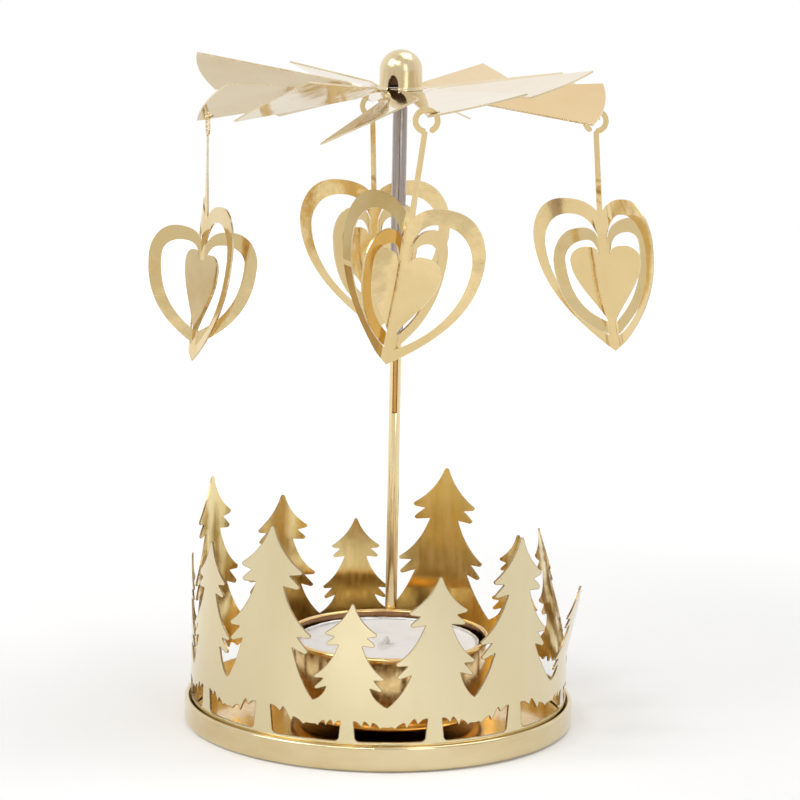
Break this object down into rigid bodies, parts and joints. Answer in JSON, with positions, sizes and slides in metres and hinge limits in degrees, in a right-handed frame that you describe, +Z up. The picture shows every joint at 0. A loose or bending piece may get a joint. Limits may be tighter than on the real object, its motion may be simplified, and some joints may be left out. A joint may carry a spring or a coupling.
{
  "type": "rotating candle holder",
  "caption": "Gold tealight holder with a ring of cut-out fir trees on a round tray and a post that carries a heat-driven bladed rotor with hanging heart charms.",
  "frame": {"origin": "centre of the tray's underside", "axes": "+Z up, -Y to the front, +X to the right as seen from the front"},
  "size_m": [0.1126, 0.1165, 0.1447],
  "materials": {
    "gold": "polished",
    "deep_gold": "polished",
    "steel": "drawn",
    "tin": "pressed foil",
    "wax": "satin",
    "cotton": "braided"
  },
  "bodies": {
    "base": {"tray": "gold", "tree_ring": "gold", "candle_cup": "deep_gold", "post": "gold", "post_tube": "steel", "pivot_needle": "steel"},
    "spinner": {"hub_cap": "gold", "rotor": "gold"},
    "charm_front": {"heart_charm_front": "gold"},
    "charm_right": {"heart_charm_right": "gold"},
    "charm_back": {"heart_charm_back": "gold"},
    "charm_left": {"heart_charm_left": "gold"},
    "tealight": {"tealight_shell": "tin", "tealight_wax": "wax", "wick_tab": "tin", "tealight_wick": "cotton"}
  },
  "joints": [
    {"name": "rotor_spin", "type": "hinge", "parent": "base", "child": "spinner", "pos_m": [0.0025, 0.0239, 0.1357], "axis": [0, 0, 1], "continuous": true},
    {"name": "front_charm_swing", "type": "hinge", "parent": "spinner", "child": "charm_front", "pos_m": [0.00786, -0.01805, 0.13314], "axis": [-0.0094, -0.9973, -0.0726], "range_deg": [-30, 30]},
    {"name": "right_charm_swing", "type": "hinge", "parent": "spinner", "child": "charm_right", "pos_m": [0.046, 0.03145, 0.12902], "axis": [-0.004, 0.9986, 0.0522], "range_deg": [-30, 30]},
    {"name": "back_charm_swing", "type": "hinge", "parent": "spinner", "child": "charm_back", "pos_m": [-0.00383, 0.0656, 0.12828], "axis": [0, 1, 0], "range_deg": [-30, 30]},
    {"name": "left_charm_swing", "type": "hinge", "parent": "spinner", "child": "charm_left", "pos_m": [-0.03946, 0.01749, 0.12824], "axis": [-0.9816, -0.1908, 0], "range_deg": [-30, 30]},
    {"name": "tealight_lift", "type": "slide", "parent": "base", "child": "tealight", "axis": [0, 0, 1], "range_m": [0, 0.025]}
  ]
}
